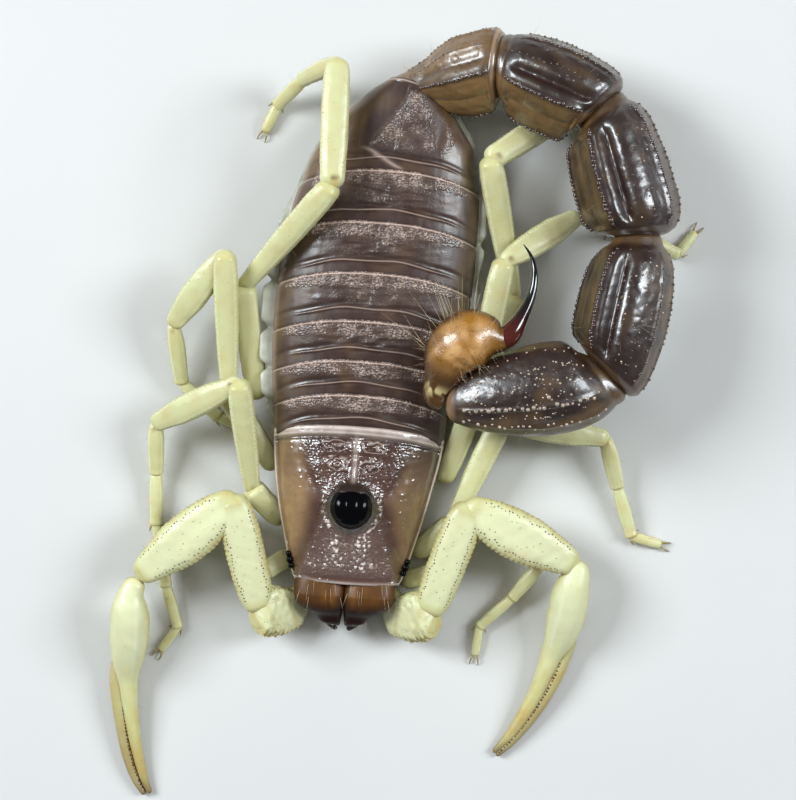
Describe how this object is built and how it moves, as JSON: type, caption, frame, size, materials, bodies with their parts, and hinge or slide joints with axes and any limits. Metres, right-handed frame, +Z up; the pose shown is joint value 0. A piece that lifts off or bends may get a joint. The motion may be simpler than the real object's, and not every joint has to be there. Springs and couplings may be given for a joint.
{
  "type": "desert scorpion",
  "caption": "Life-size desert scorpion resting on its belly, dark back plates, pale legs and pincers, the thick keeled tail swung round to its left side.",
  "frame": {"origin": "on the floor under the middle of the animal's outline", "axes": "+Z up out of the back, -Y the way the head points, +X the animal's left"},
  "size_m": [0.0338, 0.0474, 0.0082],
  "materials": {
    "shell": "dark brown horny plates, satin with fine grains",
    "tail_shell": "blackish brown, glossy keeled plates",
    "limb": "pale straw yellow, waxy and slightly translucent",
    "jaw": "glossy brown",
    "bulb": "amber, glossy",
    "sting": "dark red to black, polished",
    "eye": "black, polished"
  },
  "bodies": {
    "root": {"carapace": "shell", "chelicera_finger_left": "jaw", "chelicera_finger_right": "jaw", "chelicera_left": "jaw", "chelicera_right": "jaw", "lateral_eyes_left": "eye", "lateral_eyes_right": "eye", "left_leg_1_femur": "limb", "left_leg_1_foot": "limb", "left_leg_1_patella": "limb", "left_leg_2_femur": "limb", "left_leg_2_foot": "limb", "left_leg_2_patella": "limb", "left_leg_3_femur": "limb", "left_leg_3_foot": "limb", "left_leg_3_patella": "limb", "left_leg_4_femur": "limb", "left_leg_4_foot": "limb", "left_leg_4_patella": "limb", "left_palp_femur": "limb", "left_palp_finger": "limb", "left_palp_hand": "limb", "left_palp_patella": "limb", "left_palp_trochanter": "limb", "left_pecten": "limb", "median_eye_left": "eye", "median_eye_right": "eye", "right_leg_1_femur": "limb", "right_leg_1_foot": "limb", "right_leg_1_patella": "limb", "right_leg_2_femur": "limb", "right_leg_2_foot": "limb", "right_leg_2_patella": "limb", "right_leg_3_femur": "limb", "right_leg_3_foot": "limb", "right_leg_3_patella": "limb", "right_leg_4_femur": "limb", "right_leg_4_foot": "limb", "right_leg_4_patella": "limb", "right_palp_femur": "limb", "right_palp_finger": "limb", "right_palp_hand": "limb", "right_palp_patella": "limb", "right_palp_trochanter": "limb", "right_pecten": "limb", "sternum_and_coxae": "limb", "tail_segment_1": "tail_shell", "tail_segment_2": "tail_shell", "tail_segment_3": "tail_shell", "tail_segment_4": "tail_shell", "tail_segment_5": "tail_shell", "telson_bulb": "bulb", "telson_sting": "sting", "trunk_segment_1": "shell", "trunk_segment_2": "shell", "trunk_segment_3": "shell", "trunk_segment_4": "shell", "trunk_segment_5": "shell", "trunk_segment_6": "shell", "trunk_segment_7": "shell"}
  },
  "joints": []
}
